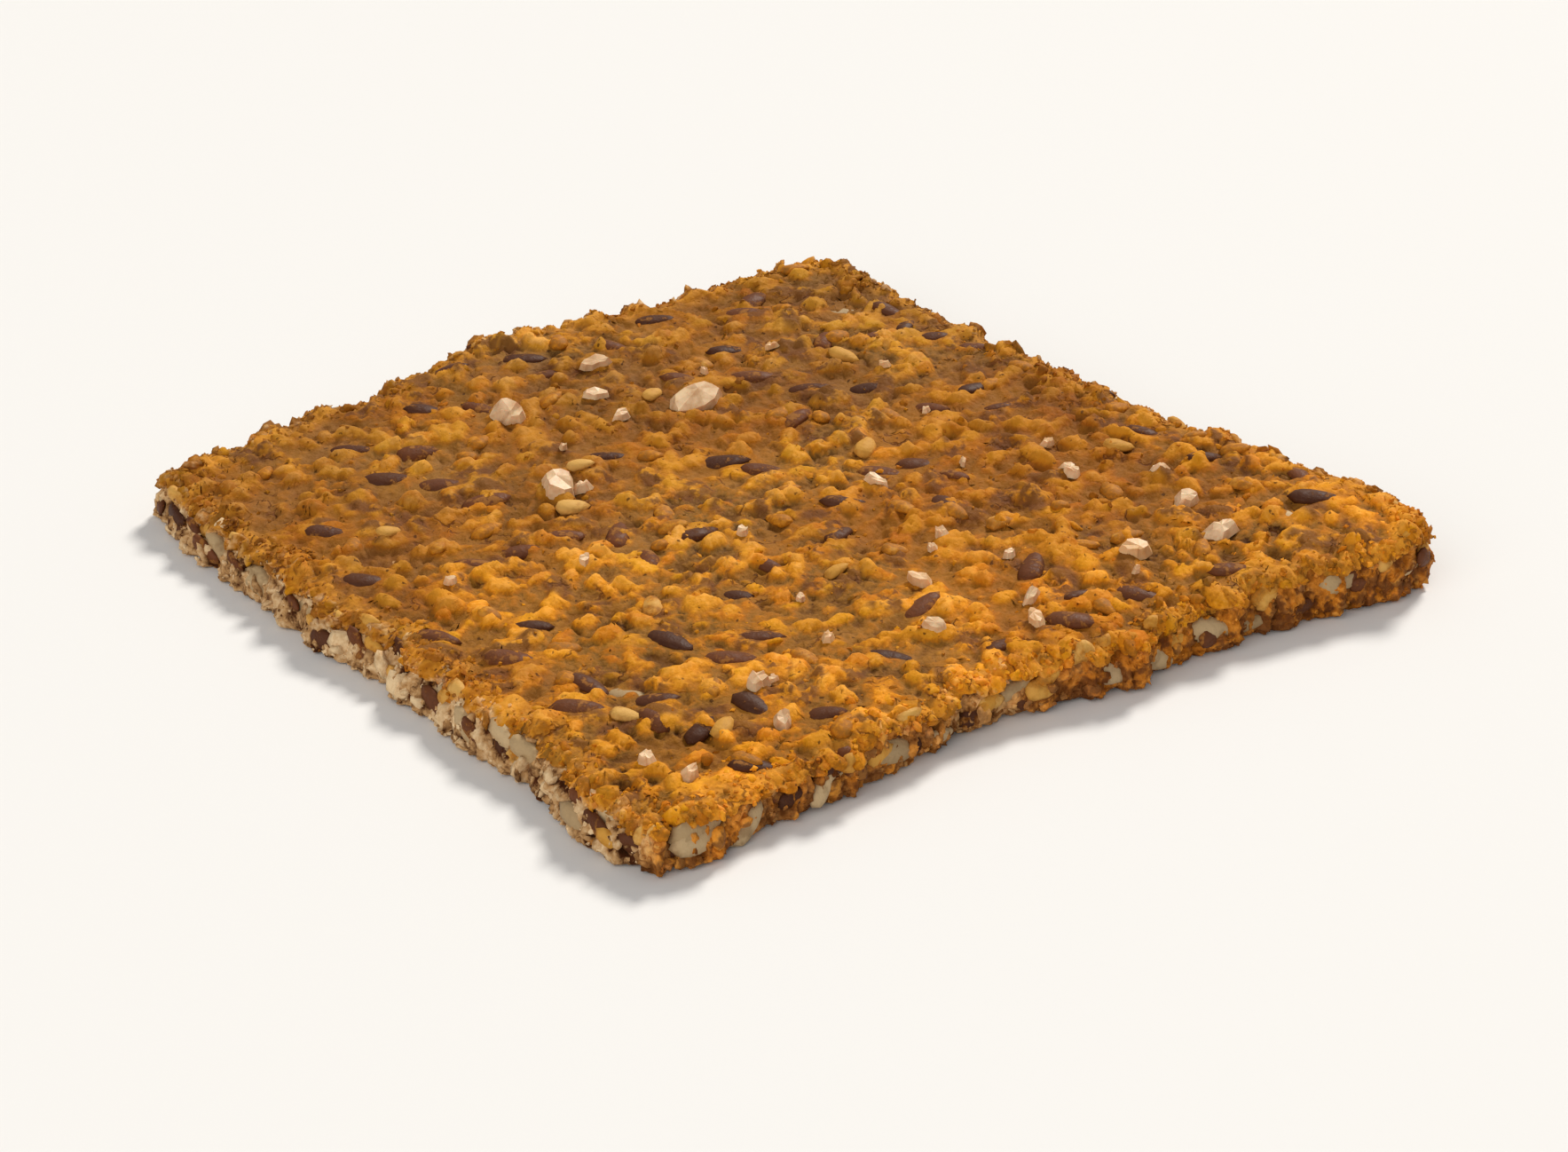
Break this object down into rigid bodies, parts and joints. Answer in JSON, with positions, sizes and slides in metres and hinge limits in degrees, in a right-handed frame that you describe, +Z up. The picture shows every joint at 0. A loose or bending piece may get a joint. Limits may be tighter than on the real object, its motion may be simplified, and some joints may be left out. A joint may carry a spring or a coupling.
{
  "type": "crispbread",
  "caption": "Square slab of seeded crispbread with a lumpy browned top, crumbled cut edges, flax, sesame and sunflower seeds and flakes of salt.",
  "frame": {"origin": "under the middle of the slab, on the plane that it rests on", "axes": "+Z up through the slab's thickness, +X along the near cut edge, +Y along the left cut edge"},
  "size_m": [0.0794, 0.0796, 0.0066],
  "materials": {
    "baked_dough": "matt, rough, golden to brown baked seed dough"
  },
  "bodies": {
    "root": {"crispbread": "baked_dough"}
  },
  "joints": []
}
